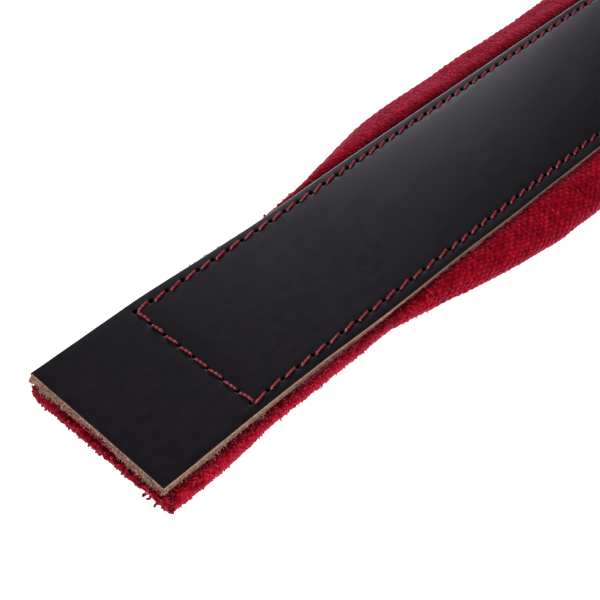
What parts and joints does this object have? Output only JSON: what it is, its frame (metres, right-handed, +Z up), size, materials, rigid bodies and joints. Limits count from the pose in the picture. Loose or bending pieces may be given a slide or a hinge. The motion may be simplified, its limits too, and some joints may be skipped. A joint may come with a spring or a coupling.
{
  "type": "padded leather instrument strap",
  "caption": "Flat leather hand strap for a bellows instrument, stitched over a red knitted sleeve that is flat at both ends and foam-padded in the middle.",
  "frame": {"origin": "centre of the strap's footprint, on the plane that the padding rests on", "axes": "+X along the strap, +Y across it, +Z up through the padding to the leather's face"},
  "size_m": [0.5, 0.076, 0.0126],
  "materials": {
    "black_leather": "satin, smooth grain, raw tan cut edges",
    "red_knit": "matt ribbed knit with a slight fuzz",
    "foam": "open-cell foam",
    "red_thread": "twisted sewing thread with a soft sheen"
  },
  "bodies": {
    "root": {"leather_strap": "black_leather", "fabric_sleeve": "red_knit", "foam_core": "foam", "needle_thread": "red_thread", "bobbin_thread": "red_thread"}
  },
  "joints": []
}
